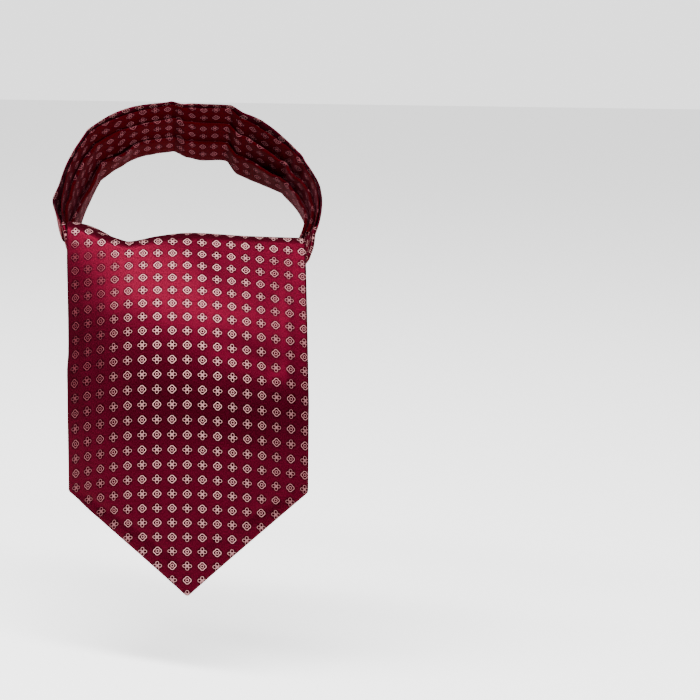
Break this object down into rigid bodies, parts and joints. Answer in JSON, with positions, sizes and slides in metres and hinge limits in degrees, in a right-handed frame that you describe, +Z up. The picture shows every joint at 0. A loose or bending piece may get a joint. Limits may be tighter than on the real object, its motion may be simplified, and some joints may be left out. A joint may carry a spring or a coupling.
{
  "type": "ascot tie",
  "caption": "Worn ascot tie with a pleated neckband, a crossing at the throat and a broad pointed front blade rolled over it, hollow for a neck.",
  "frame": {"origin": "middle of the throat, where the axis of the neck crosses the plane of the neckband's lower edge", "axes": "+Z up, -Y the way the tie faces, +X the viewer's right; the neckband's plane rises 36 degrees to the back"},
  "size_m": [0.1703, 0.1861, 0.2866],
  "materials": {
    "neckband_satin": "woven jacquard satin, burgundy with a small pale motif, in shade",
    "blade_satin": "woven jacquard satin, crimson burgundy with a small cream motif, lustrous"
  },
  "bodies": {
    "root": {"neckband_pleats": "neckband_satin", "neckband_outer": "neckband_satin", "left_wing": "blade_satin", "right_wing": "blade_satin", "crossing_wrap": "blade_satin", "rising_end": "blade_satin", "front_blade": "blade_satin", "under_blade": "blade_satin"}
  },
  "joints": []
}
